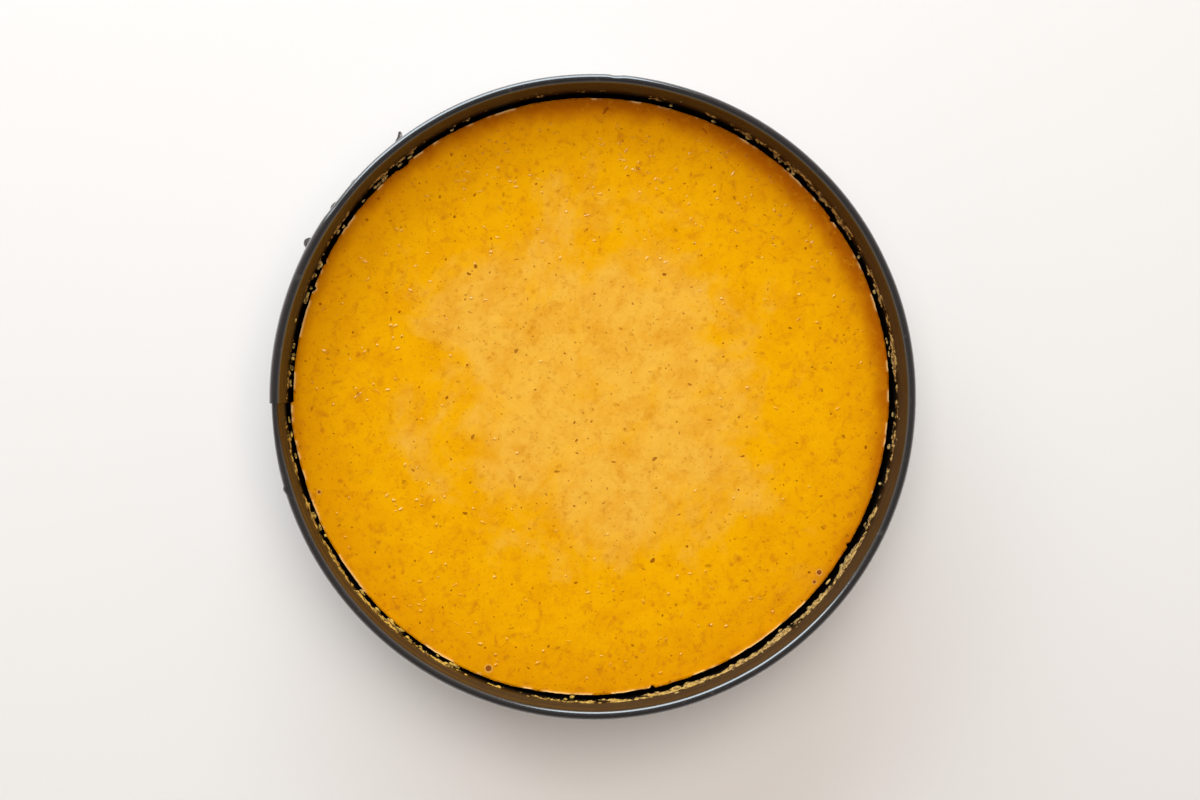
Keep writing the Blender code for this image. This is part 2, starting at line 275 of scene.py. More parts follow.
# %% A node tree
class Nodes:
    """A node tree that nodes are added to."""

    def __init__(self, tree):
        self.tree = tree

    def join(self, value, socket):
        """Links a wire to a socket, or sets the socket to a number or a colour."""
        if isinstance(value, Wire):
            self.tree.links.new(value.socket, socket)
        elif socket.type == "RGBA" and len(value) == 3:
            socket.default_value = (*value, 1)
        else:
            socket.default_value = value

    def node(self, kind, settings=None, values=None, output=0):
        """Adds a node, sets its settings and then its sockets, and gives one of its outputs."""
        made = self.tree.nodes.new("ShaderNode" + kind)
        for name, value in (settings or {}).items():
            setattr(made, name, value)
        for name, value in (values or {}).items():
            self.join(value, made.inputs[name])
        return Wire(self, made.outputs[output])

    def smooth(self, value, low, high, to_low=0.0, to_high=1.0):
        """Eases from one number to another as value goes from low to high."""
        sockets = {"Value": value, "From Min": low, "From Max": high}
        sockets.update({"To Min": to_low, "To Max": to_high})
        return self.node("MapRange", {"interpolation_type": "SMOOTHSTEP"}, sockets)

    def mix(self, share, first, second):
        """A colour between two, by share."""
        return self.node("Mix", {"data_type": "RGBA"}, {0: share, 6: first, 7: second}, 2)

    def split(self, vector):
        """The three numbers of a vector or colour."""
        found = self.node("SeparateXYZ", None, {"Vector": vector})
        return found, found.other("Y"), found.other("Z")


# %% A finish
class Finish(Nodes):
    """A Principled material, with the values that are the same all over set on its sockets."""

    def __init__(self, name, **everywhere):
        self.material = bpy.data.materials.new(name)
        self.material.use_nodes = True
        super().__init__(self.material.node_tree)
        self.shader = self.tree.nodes["Principled BSDF"]
        for socket, value in everywhere.items():
            self.set(socket.replace("_", " "), value)
        self.place = self.node("TexCoord", output="Object")

    def set(self, socket, value):
        """Gives the shader a constant or a varying value."""
        self.join(value, self.shader.inputs[socket])

    def cloudy(self, size, detail=3, vector=None, distortion=0.0, roughness=0.5):
        """Noise from 0 to 1 with lumps of about this size."""
        sockets = {"Vector": vector or self.place, "Scale": 1 / size, "Detail": detail}
        sockets.update({"Distortion": distortion, "Roughness": roughness})
        return self.node("TexNoise", {"noise_dimensions": "3D"}, sockets)

    def stirred(self, size, amount):
        """Each place moved about, by up to half this amount, with soft noise of this size."""
        sockets = {"Vector": self.place, "Scale": 1 / size, "Detail": 2}
        swirl = self.node("TexNoise", {"noise_dimensions": "3D"}, sockets, "Color")
        even = self.node("VectorMath", {"operation": "SUBTRACT"}, {0: swirl, 1: (0.5, 0.5, 0.5)})
        moved = self.node("VectorMath", {"operation": "SCALE"}, {0: even, "Scale": amount})
        return self.node("VectorMath", {"operation": "ADD"}, {0: self.place, 1: moved})

    def cells(self, size, vector):
        """How far each place is from its cell's point, seen from above and in metres, for cells
        of this size, and three random numbers of the cell's own."""
        sockets = {"Vector": vector, "Scale": 1 / size}
        found = self.node("TexVoronoi", {"voronoi_dimensions": "2D"}, sockets)
        return found * size, self.split(found.other("Color"))

    def attribute(self, name):
        """A number that is stored on the mesh."""
        return self.node("Attribute", {"attribute_name": name}, output="Fac")

    def bump(self, height, distance, strength):
        """Tilts the surface as if it had this height, given in units of distance."""
        sockets = {"Height": height, "Distance": distance, "Strength": strength}
        return self.node("Bump", None, sockets)

    def done(self):
        """Prints the finish's size and gives its material."""
        print(f"{self.material.name}: {len(self.tree.nodes)} nodes")
        return self.material


# %% [markdown]
# ## The ring's steel
#
# The tin is thin steel under a dark non-stick coating that is fired on. It is satin, not black: it
# shows the window as a broad soft line along the rolled rim. Years of baking dull the wall inside and
# leave an olive-brown tint of cooked fat on it, in level streaks. Just over the cake, where this one
# stood higher while it baked, the wall is burnt nearly black, and the same near-black goes on down
# the wall into the gap beside the cake, where it is painted shade.

# %% The dark coating
COAT = (0.007, 0.008, 0.012)
COAT_WORN = (0.060, 0.059, 0.060)
COAT_BROWN = (0.030, 0.025, 0.019)
# near-black: burnt film just under the height the cake rose to, and painted shade below it in the gap
COAT_BURNT_AND_SHADE = (0.006, 0.004, 0.002)
BURNT_TO = 57.3 * MM  # the height that the cake had risen to
RIM_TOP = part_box("pan_ring")[1].z


def coating(name, browned):
    """Dark satin coating. Browned says how tinted it is inside, where the mesh's `inside` number
    is 1. There the wall has lost most of its gloss, up to just under the rim's crest. Below a ragged
    line just over the cake the wall is near-black: burnt film near that line, and painted shade down
    in the gap."""
    made = Finish(name, IOR=1.4, Coat_Weight=1.0, Coat_IOR=2.3, Coat_Roughness=0.16)
    x, y, z = made.split(made.place)
    flat = made.node("CombineXYZ", None, {"X": x * 0.1, "Y": y * 0.1, "Z": z})
    streaks = made.cloudy(1.7 * MM, 4, flat, roughness=0.65)
    patches = made.cloudy(14 * MM, 3)
    grain = made.cloudy(0.5 * MM, 2)
    worn = made.smooth(made.cloudy(3.2 * MM, 4, distortion=0.6), 0.60, 0.76) * 0.5
    colour = made.mix(patches * 0.15 + worn, COAT, COAT_WORN)
    roughness = 0.10 + streaks * 0.06 + grain * 0.06 + worn * 0.1
    if browned:
        inside = made.attribute("inside")
        tint = inside * made.smooth(streaks + patches * 0.3, 0.50, 0.80, 0.1, 1.0)
        colour = made.mix(tint * browned, colour, COAT_BROWN)
        # painted shade and burnt film: below a ragged line just over the cake the wall is made
        # near-black
        edge = z + (made.cloudy(5 * MM, 4) - 0.5) * 3.2 * MM
        burnt_and_shaded = inside * made.smooth(edge, BURNT_TO + 0.5 * MM, BURNT_TO - 0.7 * MM)
        colour = made.mix(burnt_and_shaded * 0.96, colour, COAT_BURNT_AND_SHADE)
        wall = inside * made.smooth(z, RIM_TOP - 0.75 * MM, RIM_TOP - 1.35 * MM)
        roughness = roughness + wall * 0.3
        made.set("Coat Weight", 1 - wall * 0.95)
    made.set("Base Color", colour)
    made.set("Roughness", roughness)
    made.set("Normal", made.bump(streaks * 0.7 + grain * 0.3, 0.05 * MM, 0.35))
    return made.done()


ring_coating = coating("dark coated steel", 0.9)
plate_coating = coating("dark coated base", 0)

# %% [markdown]
# ## The ring
#
# The ring is one strip of sheet. Its section is the same nearly all the way round: a lip that stands
# by the table, a pressed groove that holds the base plate, the tall wall, a slight flare and a rim
# rolled outwards like a scroll. The strip goes once round and on behind its own start, so over the
# latch the wall is double. There the outer layer steps outwards, and its rim shrinks so that it can
# lie inside the wider rim of the inner end. So the shape is a section carried along a path, with
# three numbers that change on the way: the rim's radius, the step, and a little unevenness.

# %% Sizes of the ring
SHEET = 0.6 * MM
WALL = 114.3 * MM
RING_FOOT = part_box("pan_ring")[0].z
SEAM = 181.0  # bearing of the strip's inner end
OVERLAP = 32.6  # degrees for which the strip is double
JOGGLE = 15.5  # degrees over which its outer layer steps outwards, before the seam
LAYER_STEP = 0.9 * MM
RIM_DEGREE = 2.05 * MM  # what one degree spans along the rim
NICK_AT = 86.5  # bearing of a nick on the rim's far side
RIM_RADIUS, RIM_WIDE, RIM_NESTED = 1.75 * MM, 2.0 * MM, 1.17 * MM
FLARE = 0.6 * MM
GROOVE_Z, GROOVE_HALF, GROOVE_DEPTH = 4.6 * MM, 3.6 * MM, 1.8 * MM
print(f"ring from {RING_FOOT / MM:.2f} to {RIM_TOP / MM:.2f} mm")

# %% Where the wall steps outwards
def stepped_out(along):
    """0 where the strip lies on its usual radius and 1 where it is the outer layer."""
    return ease((along - 360 + JOGGLE) / (JOGGLE - 2))


def along_of(bearing):
    """Degrees from the strip's inner end, clockwise, of the layer that the cake touches."""
    return np.mod(SEAM - np.asarray(bearing, float), 360)


def wall_inside(bearing):
    """Radius of the wall's inner face, as the cake meets it."""
    return WALL + LAYER_STEP * stepped_out(along_of(bearing))


print("wall inside, mm, at 0 and 185 degrees:", (wall_inside([0, 185]) / MM).round(2))

# %% The ring's section, as arrays
def ring_sections(along):
    """The middle line of the sheet at each station: radius and height, station by point. The
    groove is one wave of a cosine, the flare an eased slope, and the rim an arc of 275 degrees
    whose radius shrinks or grows with the station."""
    moved = stepped_out(along)[:, None]
    wide = (1 - ease((along - OVERLAP - 1) / 4))[:, None]
    rim = RIM_RADIUS + (RIM_WIDE - RIM_RADIUS) * wide + (RIM_NESTED - RIM_RADIUS) * moved
    groove = np.linspace(-1, 1, 15)
    upright = np.linspace(20, 58, 4) * MM
    flare = np.linspace(59.5, 65, 8) * MM
    heights = np.concatenate([[RING_FOOT], GROOVE_Z + groove * GROOVE_HALF, upright, flare])
    bulge = np.where(
        np.abs(heights - GROOVE_Z) < GROOVE_HALF,
        GROOVE_DEPTH / 2 * (1 + np.cos(math.pi * (heights - GROOVE_Z) / GROOVE_HALF)),
        0,
    )
    opening = FLARE * ease((heights - 60 * MM) / (4 * MM))
    middle = WALL + SHEET / 2 + bulge + opening
    roll = rim - SHEET / 2
    turn = np.radians(np.linspace(180, -95, 24))
    scroll_r = WALL + SHEET / 2 + FLARE + roll + roll * np.cos(turn)
    scroll_z = RIM_TOP - RIM_WIDE + roll * np.sin(turn)
    radius = np.hstack([np.tile(middle, (len(along), 1)), scroll_r]) + LAYER_STEP * moved
    height = np.hstack([np.tile(heights, (len(along), 1)), scroll_z])
    return radius, height


def wobble(along, radius, height):
    """Small faults of the rim, in metres outwards: a slow wave and a finer one, and on its outer
    side one nick, as a dent shaped like a hump, and a flat-topped nib where the step begins."""
    bearing = SEAM - along[:, None]
    angle = heading(bearing)
    place = polar(WALL, angle, 0)
    in_rim = ease((height - (RIM_TOP - 5 * MM)) / (3 * MM))
    outside = ease((radius - WALL - 2.2 * MM) / (0.8 * MM))
    slow = 0.10 * MM * noise(place, 60 * MM, 1) + 0.05 * MM * noise(place, 14 * MM, 2)
    nick = 0.45 * MM * hump(bearing, NICK_AT, 1.3 * MM / RIM_DEGREE)
    from_nib = (along[:, None] - (360 - JOGGLE)) * RIM_DEGREE
    nib = 0.5 * MM * np.exp(-((from_nib / (1.2 * MM)) ** 6))
    return in_rim * slow + in_rim * outside * (nib - nick)


# %% Build the ring
def build_ring():
    """Carries the section along the strip. The two faces of the sheet lie half its thickness on
    either side of the middle line, measured square to it."""
    turn = 360 + OVERLAP
    plain = np.linspace(0, 360 - JOGGLE, 400)
    along = np.concatenate([plain, np.linspace(360 - JOGGLE, 360, 60)[1:]])
    along = np.concatenate([along, np.linspace(360, turn, 44)[1:]])
    radius, height = ring_sections(along)
    run_r, run_z = np.gradient(radius, axis=1), np.gradient(height, axis=1)
    length = np.hypot(run_r, run_z)
    normal_r, normal_z = run_z / length, -run_r / length
    radius = radius + wobble(along, radius, height)
    half = SHEET / 2
    r = np.hstack([radius + half * normal_r, (radius - half * normal_r)[:, ::-1]])
    z = np.hstack([height + half * normal_z, (height - half * normal_z)[:, ::-1]])
    angle = heading(SEAM - along)[:, None]
    points = polar(r, angle, z)
    rows, columns = r.shape
    faces = [grid_faces(rows, columns, wrap_columns=True), strip_caps(columns)]
    faces.append(strip_caps(columns, (rows - 1) * columns))
    mesh = make_mesh("springform_ring", points, faces)
    inner_face = np.arange(columns) >= columns // 2
    below_crest = (z < RIM_TOP - 0.6 * MM) & (r < WALL + FLARE + RIM_RADIUS)
    give(mesh, "inside", inner_face[None, :] * below_crest)
    show(mesh, "pan", ring_coating, ["pan_ring"], 35)


build_ring()

# %% [markdown]
# ## The base plate
#
# The loose bottom is a turned shape: a flat disc that the pan stands on, a short slope and a flange
# that sits in the ring's groove. Under the pan it is all that shows, so it gets the shallow pressed
# rings that stiffen such a plate. A profile turned about the axis is the plainest grid there is.

# %% Turned surfaces
def turned(name, profile, steps=256):
    """A closed surface of revolution from (radius, height) points that start and end on the axis.
    The two end points are poles, shared by a fan of triangles each."""
    ring = np.array(profile[1:-1])
    angle = np.linspace(0, 2 * math.pi, steps, endpoint=False)[:, None]
    r, z = ring[:, 0][None, :], ring[:, 1][None, :]
    points = polar(r, angle, z)
    count = len(ring)
    faces = [grid_faces(steps, count, wrap_rows=True)]
    poles = np.array([[0, 0, profile[0][1]], [0, 0, profile[-1][1]]])
    start = np.arange(steps) * count
    after = np.roll(start, -1)
    top = np.full(steps, steps * count)
    faces.append(np.stack([top, start, after], axis=-1))
    faces.append(np.stack([top + 1, after + count - 1, start + count - 1], axis=-1))
    return make_mesh(name, np.vstack([points.reshape(-1, 3), poles]), faces)


def build_base_plate():
    """The disc's pressed rings are cosine waves in height over its middle. The slope eases up to
    the flange, whose edge is an arc as thick as the sheet."""
    sheet, flat, flange_z = 0.8 * MM, 104 * MM, 4.2 * MM
    foot = flat * 1.012
    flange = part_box("base_plate")[1].x - 0.1 * MM
    spread = np.concatenate([np.linspace(0, 1, 60) * flat, [flat * 1.006, foot]])
    pressed = 0.35 * MM * (1 - np.cos(spread / flat * 8 * math.pi)) / 2 * (spread < 78 * MM)
    top = list(zip(spread, sheet + pressed))
    bottom = list(zip(spread, pressed))
    slope = np.linspace(0, 1, 8)[1:]
    side_top = [(foot + 3 * MM * s, sheet + flange_z * ease(s)) for s in slope]
    side_bottom = [(foot + 0.5 * MM + 3 * MM * s, flange_z * ease(s)) for s in slope]
    half = sheet / 2
    round_edge = [
        (flange - half + half * math.cos(a), flange_z + half + half * math.sin(a))
        for a in np.radians(np.linspace(80, -80, 7))
    ]
    profile = top + side_top + round_edge + side_bottom[::-1] + bottom[::-1]
    mesh = turned("loose_base_plate", profile)
    show(mesh, "pan", plate_coating, ["base_plate"])


build_base_plate()

# %% [markdown]
# ## The cake's finish
#
# The filling bakes to a deep yellow-orange. Its skin is satin, with a painted sheen that makes it
# paler and peachy in the middle, and it is browner towards the tin. Along the edge runs a browned
# band that is partly painted shade, wider on the far right, where the wall shades the cake. Ground
# spice shows as dots of all sizes, sharp ones where a bubble opened and blurred ones below the skin.
# A few large broken bubbles have painted shade in their hollows and a painted highlight round them.
# Small glossy wrinkles catch the window. All of these follow from noise and cells in the plane of
# the cake, each at its own size, because that is how they look: scattered with no order. Two numbers
# stored on the mesh, `skin` and `side`, tell where the thin dry lip and the hidden side are. The
# hidden side is near-black: its browned crust, and painted shade down in the narrow gap.

# %% Sizes of the cake
CAKE_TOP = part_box("cheesecake")[1].z
CAKE_EDGE = 112.55 * MM
print(f"the cake's top is {(RIM_TOP - CAKE_TOP) / MM:.1f} mm below the rim")

# %% Colours of the filling
FILLING = (0.83, 0.400, 0.0004)
FILLING_PALE = (0.83, 0.455, 0.050)
FILLING_DEEP = (0.70, 0.270, 0.0006)
# the edge band: browned filling, darkened further as painted shade
BROWNED_AND_SHADED = (0.41, 0.100, 0.001)
SPICE = (0.24, 0.050, 0.002)
SHADE_SPOT = (0.56, 0.200, 0.004)
# pale dry skin of the lip, and also a painted highlight on the rims of the large bubbles
SKIN_AND_HIGHLIGHT = (0.95, 0.62, 0.24)
# near-black hidden side: its browned crust, darkened further as painted shade for the narrow gap
SIDE_CRUST_AND_SHADE = (0.05, 0.02, 0.004)
# bearing and distance from the axis, in degrees and millimetres, and the radius of large bubbles
BUBBLES = [(248.7, 109.6, 1.25), (322.1, 108.4, 1.0), (320.0, 109.2, 0.7), (199.0, 109.0, 0.7)]
print(len(BUBBLES), "large bubbles near the edge")

# %% Dots and bubbles
def dots(made, size, smallest, largest, kept, soft, stirred):
    """A mask of dots, one to a cell: the cell's random numbers choose which cells have one and
    its radius, and soft is the share of the radius over which it fades. The cells are stirred, so
    that the dots are neither quite round nor evenly spaced."""
    distance, (pick, spare, other) = made.cells(size, stirred)
    radius = smallest + (largest - smallest) * spare**2.5
    shown = pick > 1 - kept
    return shown * made.smooth(distance / radius, 1, 1 - soft), other


def bubble_masks(made, x, y):
    """Two masks for the few large broken bubbles: painted shade in the dark hollow and a painted
    highlight on the pale ring round it.
    """
    hollow, ring = 0.0, 0.0
    for bearing, away, size in BUBBLES:
        centre = outward(bearing) * away * MM
        distance = ((x - centre.x) ** 2 + (y - centre.y) ** 2) ** 0.5 / (size * MM)
        hollow = made.smooth(distance, 1.0, 0.75) + hollow
        ring = made.smooth(distance, 1.5, 1.15) + ring
    return hollow, ring


# %% How the cake baked, with painted sheen and shade
def tone_sheen_and_shade(made, x, y, radius, middle):
    """The filling's colour before its spice: pale where a painted sheen in the middle and the broad
    clouds add up, deep in patches and towards the rim, and darkened in a band along the edge that is
    partly browning and partly painted shade, wider towards the far right, where the wall shades it."""
    broad = made.cloudy(34 * MM, 7, distortion=0.5, roughness=0.66)
    uneven = made.cloudy(13 * MM, 7, distortion=0.3, roughness=0.74)
    # painted sheen: the middle of the top is painted paler, for the satin skin's sheen
    centre_sheen = made.smooth(radius, 100 * MM, 20 * MM)
    pale = made.smooth(centre_sheen * 0.75 + broad * 2.0 + middle * 0.3, 1.34, 1.86)
    colour = made.mix(pale, FILLING, FILLING_PALE)
    colour = made.mix(made.smooth(uneven, 0.40, 0.68) * 0.5, colour, FILLING_DEEP)
    rim = made.smooth(radius + (broad - 0.5) * 8 * MM, 84 * MM, 113 * MM)
    colour = made.mix(rim * 0.6, colour, FILLING_DEEP)
    # painted shade: the edge band is widened towards bearing 60, where the far wall shades the cake
    shaded_side = outward(60)
    share = (x * shaded_side.x + y * shaded_side.y) / CAKE_EDGE
    baked = made.smooth(radius + (middle - 0.5) * 7 * MM + share * 5 * MM, 105.5 * MM, 115 * MM)
    return made.mix(baked * 0.92, colour, BROWNED_AND_SHADED)


# %% The filling
def filling_finish(name, shine, roughness):
    """The baked filling. Shine is its specular level: low on its satin skin, high on the wrinkles.
    Blurred dots, freckles and mottling below the skin shade it, more so towards the rim. The
    spice is dots of three sizes, and where two meet the stronger one shows."""
    made = Finish(name, Specular_IOR_Level=shine)
    x, y, _ = made.split(made.place)
    radius = (x * x + y * y) ** 0.5
    middle = made.cloudy(9 * MM, 3, distortion=0.3)
    colour = tone_sheen_and_shade(made, x, y, radius, middle)
    stirred = made.stirred(1.1 * MM, 1.1 * MM)
    drift = made.stirred(9 * MM, 7 * MM)
    crowd = made.smooth(made.cloudy(13 * MM, 3), 0.40, 0.62, 0.25, 1.0)
    blur, blur_strength = dots(made, 4.3 * MM, 0.4 * MM, 1.7 * MM, 0.85, 0.95, stirred)
    freckles = made.smooth(made.cloudy(1.0 * MM, 4, roughness=0.7), 0.55, 0.72)
    mottle = made.smooth(made.cloudy(4.6 * MM, 5, distortion=0.6, roughness=0.72), 0.50, 0.70)
    shade = blur * blur_strength * 0.55 + freckles * crowd * 0.38 + mottle * 0.42
    shade = shade * made.smooth(radius, 60 * MM, 105 * MM, 1.0, 1.7)
    colour = made.mix(shade, colour, SHADE_SPOT)
    fine, fine_strength = dots(made, 2.2 * MM, 0.14 * MM, 0.42 * MM, 0.75, 0.8, stirred)
    small, small_strength = dots(made, 4.7 * MM, 0.20 * MM, 0.50 * MM, 0.75, 0.6, drift)
    sharp, sharp_strength = dots(made, 8.3 * MM, 0.34 * MM, 0.72 * MM, 0.7, 0.4, drift)
    hollow, ring = bubble_masks(made, x, y)
    spice = (fine * fine_strength * 0.5).larger(small * (0.15 + small_strength * 0.55))
    spice = spice.larger(sharp * (0.35 + sharp_strength * 0.5))
    # painted highlight: a pale ring round each large bubble
    colour = made.mix(ring * 0.22, colour, SKIN_AND_HIGHLIGHT)
    # painted shade: each large bubble's hollow is darkened with the spice colour
    colour = made.mix(spice.larger(hollow * 0.9), colour, SPICE)
    colour = made.mix(made.attribute("skin"), colour, SKIN_AND_HIGHLIGHT)
    # painted shade: the hidden side, seen only down in the gap, is made near-black
    side = made.attribute("side")
    colour = made.mix(side, colour, SIDE_CRUST_AND_SHADE)
    made.set("Base Color", colour)
    made.set("Roughness", roughness + middle * 0.10 + spice * 0.1 + side * 0.2)
    pores = made.cloudy(1.3 * MM, 3)
    height = middle * 0.5 + pores * 0.25 - sharp * 0.9 - small * 0.5 - fine * 0.2 - hollow * 2
    made.set("Normal", made.bump(height, 0.35 * MM, 0.5))
    return made.done()


filling = filling_finish("baked pumpkin filling", 0.03, 0.45)
wet_filling = filling_finish("glossy pumpkin filling", 0.9, 0.10)

# %% [markdown]
# ## The cake
#
# The cake is one solid. Its top is a disc, and the shape that gives a disc cells of one size, with
# no crowded centre, is a square grid whose square rings are bent into circles. Towards the edge the
# grid turns into finer rings with twice as many points round, so that the torn edge can be ragged:
# it has nicks where the skin stuck to the wall as the cake shrank, and here and there a thin pale
# lip of dry skin. The rings go on down the side, a little way off the wall and closer to it lower
# down, and then in over the base plate's flange to its disc. The edge follows the wall's own step at
# the seam.

# %% A disc from a square grid
def disc_grid(count):
    """Points of the unit disc, as radius and angle, for a square grid with this many cells a side.
    A grid point's larger coordinate is its radius, and the smaller one's share of it is the way
    along an eighth of the circle."""
    step = np.linspace(-1, 1, count + 1)
    u, v = np.meshgrid(step, step, indexing="ij")
    flat = np.abs(u) > np.abs(v)
    with np.errstate(divide="ignore", invalid="ignore"):
        radius = np.where(flat, u, v)
        angle = np.where(flat, math.pi / 4 * v / u, math.pi / 2 - math.pi / 4 * u / v)
    angle = np.nan_to_num(angle)
    x, y = radius * np.cos(angle), radius * np.sin(angle)
    return np.hypot(x, y), np.arctan2(y, x)


def border(count):
    """The numbers of the square grid's outermost points, in order round it."""
    side = count + 1
    along = np.arange(count)
    low = along * side
    right = count * side + along
    high = (count - along) * side + count
    left = count - along
    return np.concatenate([low, right, high, left])


def doubling_faces(loop, first):
    """Faces between a closed loop of points and a ring with twice as many, numbered from first:
    for each step of the loop, a quad and a triangle."""
    after = np.roll(loop, -1)
    ring = first + 2 * np.arange(len(loop))
    beyond = first + (2 * np.arange(len(loop)) + 2) % (2 * len(loop))
    quads = np.stack([loop, after, beyond, ring + 1], axis=-1)
    return [quads, np.stack([loop, ring + 1, ring], axis=-1)]


print("points round the border of a disc grid with 4 cells a side:", len(border(4)))

# %% The cake's ragged edge
def shrunk(bearing):
    """How much further in than usual the edge is: the cake let go of the wall on its right, and
    still leans on it a little on the near left."""
    right = 0.85 * hump(bearing, 322, 34) + 0.2 * hump(bearing, 285, 14)
    return (right - 0.55 * hump(bearing, 250, 15) - 0.35 * hump(bearing, 215, 20)) * MM


def edge_radius(angle):
    """Radius of the cake's upper edge: the usual one, plus the wall's step at the seam, less what
    it shrank, a wavy unevenness, fine teeth, and narrow nicks that cut inwards where one noise
    is high."""
    bearing = np.degrees(angle) - CAMERA_RIGHT
    place = polar(CAKE_EDGE, angle, 0)
    step = LAYER_STEP * stepped_out(along_of(bearing))
    wave = 0.16 * MM * clouds(place, 11 * MM, 2, 4) + 0.13 * MM * noise(place, 1.5 * MM, 9)
    nick = ease((noise(place, 3.2 * MM, 14) - 0.60) / 0.22)
    return CAKE_EDGE + step - shrunk(bearing) + wave - 0.9 * MM * nick


def skin_share(angle):
    """How much of the dry pale lip is there, from 0 to 1, at each angle of the edge."""
    place = polar(CAKE_EDGE, angle, 0)
    return ease((noise(place, 6 * MM, 40) + 0.35 * noise(place, 2 * MM, 41) + 0.02) / 0.3)


def top_height(points, inset, skin):
    """Height of the top: the very shallow bowl that a baked cake settles to, with slow waves, small
    lumps and pits. Inset is the distance in from the edge: there the top rounds over, and
    the lip of skin rises over it."""
    radius = np.hypot(points[..., 0], points[..., 1])
    place = np.stack([points[..., 0], points[..., 1], 0 * radius], axis=-1)
    bowl = 0.55 * MM * (radius / CAKE_EDGE) ** 2
    waves = 0.14 * MM * clouds(place, 32 * MM, 2, 21) + 0.05 * MM * clouds(place, 7 * MM, 2, 25)
    pits = 0.2 * MM * ease((noise(place, 2.6 * MM, 31) - 0.52) / 0.3)
    rounded = 0.4 * MM * (1 - ease(inset / (0.7 * MM)))
    hollow = 0.12 * MM * np.exp(-(((inset - 1.5 * MM) / (0.9 * MM)) ** 2))
    lip = skin * 0.42 * MM * np.exp(-(((inset - 0.22 * MM) / (0.2 * MM)) ** 2))
    return CAKE_TOP - 0.85 * MM + bowl + waves - pits - rounded - hollow + lip


# %% The rings of the cake
DISC_EDGE = 107.5 * MM
# one number for each ring: shares of the way from the disc to the edge, then depths below the edge,
# and then the radius and the height of the rings underneath
TOP_RINGS = np.array([0.25, 0.46, 0.63, 0.76, 0.85, 0.91, 0.95, 0.98, 1.0])[:, None]
SIDE_DROP = np.array([0.12, 0.45, 1.1, 2.6, 7.0, 15.0, 28.0])[:, None] * MM
UNDER_RADIUS = np.array([113.75, 113.4, 107.5, 104.4, 103.5])[:, None] * MM
UNDER_Z = np.array([5.7, 5.32, 5.32, 1.45, 1.12])[:, None] * MM


def cake_rings(around):
    """The cake outside its disc, ring by point: over the top's edge at shares of the way to it, down
    the side at depths below it, where the outline eases from ragged to even, and under the
    side along the base plate. Also the share of dry skin at each point."""
    edge, skin = edge_radius(around), skin_share(around)
    ring_r = DISC_EDGE + (edge - DISC_EDGE) * TOP_RINGS
    top = polar(ring_r, around, 0)
    top[..., 2] = top_height(top, edge - ring_r, skin)
    even = CAKE_EDGE + LAYER_STEP * stepped_out(along_of(np.degrees(around) - CAMERA_RIGHT))
    side_r = edge + (even - edge) * ease(SIDE_DROP / (5 * MM))
    side_r = side_r + 1.0 * MM * ease(SIDE_DROP / (34 * MM))
    side = polar(side_r, around, top[-1, :, 2] - SIDE_DROP)
    under = polar(UNDER_RADIUS, around, UNDER_Z)
    rings = np.concatenate([top, side, under])
    lip = np.zeros(rings.shape[:2])
    last = len(TOP_RINGS)
    lip[last - 5 : last + 1] = skin * np.array([0.15, 0.6, 0.9, 1, 1, 0.8])[:, None]
    return rings, lip


print(len(TOP_RINGS) + len(SIDE_DROP) + len(UNDER_Z), "rings outside the disc")

# %% Build the cake
def build_cake(count=226):
    """The disc, the doubling ring and the rings are joined into one skin, with a fan of triangles
    to one point in the middle below."""
    share, angle = disc_grid(count)
    disc = polar(share * DISC_EDGE, angle, 0).reshape(-1, 3)
    disc[:, 2] = top_height(disc, CAKE_EDGE - np.hypot(disc[:, 0], disc[:, 1]), 0)
    loop = border(count)
    corner = np.arctan2(disc[loop, 1], disc[loop, 0])
    step = (np.roll(corner, -1) - corner + math.pi) % (2 * math.pi) - math.pi
    around = np.column_stack([corner, corner + step / 2]).ravel()
    rings, lip = cake_rings(around)
    first = len(disc)
    faces = [grid_faces(count + 1, count + 1), *doubling_faces(loop, first)]
    faces.append(grid_faces(len(rings), len(around), wrap_columns=True, first=first))
    last = first + (len(rings) - 1) * len(around) + np.arange(len(around))
    centre = np.full(len(around), first + lip.size)
    faces.append(np.stack([last, np.roll(last, -1), centre], axis=-1))
    points = np.vstack([disc, rings.reshape(-1, 3), [[0, 0, UNDER_Z[-1, 0]]]])
    mesh = make_mesh("pumpkin_cheesecake", points, faces)
    low = np.zeros(lip.shape)
    low[len(TOP_RINGS) + 1 :] = 1  # the hidden side starts at the second ring below the edge
    give(mesh, "skin", np.concatenate([0 * disc[:, 0], lip.ravel(), [0]]))
    give(mesh, "side", np.concatenate([0 * disc[:, 0], low.ravel(), [1]]))
    show(mesh, "pan", filling, ["cheesecake"], 70)


build_cake()

# %% [markdown]
# ## Wrinkles that catch the light
#
# The skin is satin, but it has small raised wrinkles and blisters that stayed glossy. Only the side
# of each that faces the window shines, as a short pale dash. That is shape, so they are shapes: a
# few hundred low mounds, longer than wide, that stand barely proud of the top and share its colours
# with a glossier finish. All are made at once, from one small dome.

# %% Where the wrinkles are
def surface_at(x, y):
    """Height of the cake's top at level places away from the edge."""
    points = np.stack([x, y, 0 * x], axis=-1)
    return top_height(points, CAKE_EDGE - np.hypot(x, y), 0)


def wrinkle_centres(draw, count):
    """Places spread evenly over the top, then thinned by a chance: higher towards the far side and
    the near left, low in the middle, and uneven with soft noise."""
    bearing = draw.uniform(0, 360, count * 6)
    away = 108 * MM * np.sqrt(draw.uniform(0, 1, count * 6))
    far = np.cos(np.radians(bearing - 92)) * 0.5 + 0.5
    left = np.cos(np.radians(bearing - 232)) * 0.5 + 0.5
    wanted = (0.06 + 0.9 * far**4 + 0.5 * left**3) * ease((away - 35 * MM) / (45 * MM)) + 0.03
    centre = polar(away, heading(bearing), 0)
    wanted = wanted * (0.35 + ease((noise(centre, 16 * MM, 70) + 0.1) / 0.4))
    return centre[draw.uniform(0, 1, count * 6) < wanted][:count]


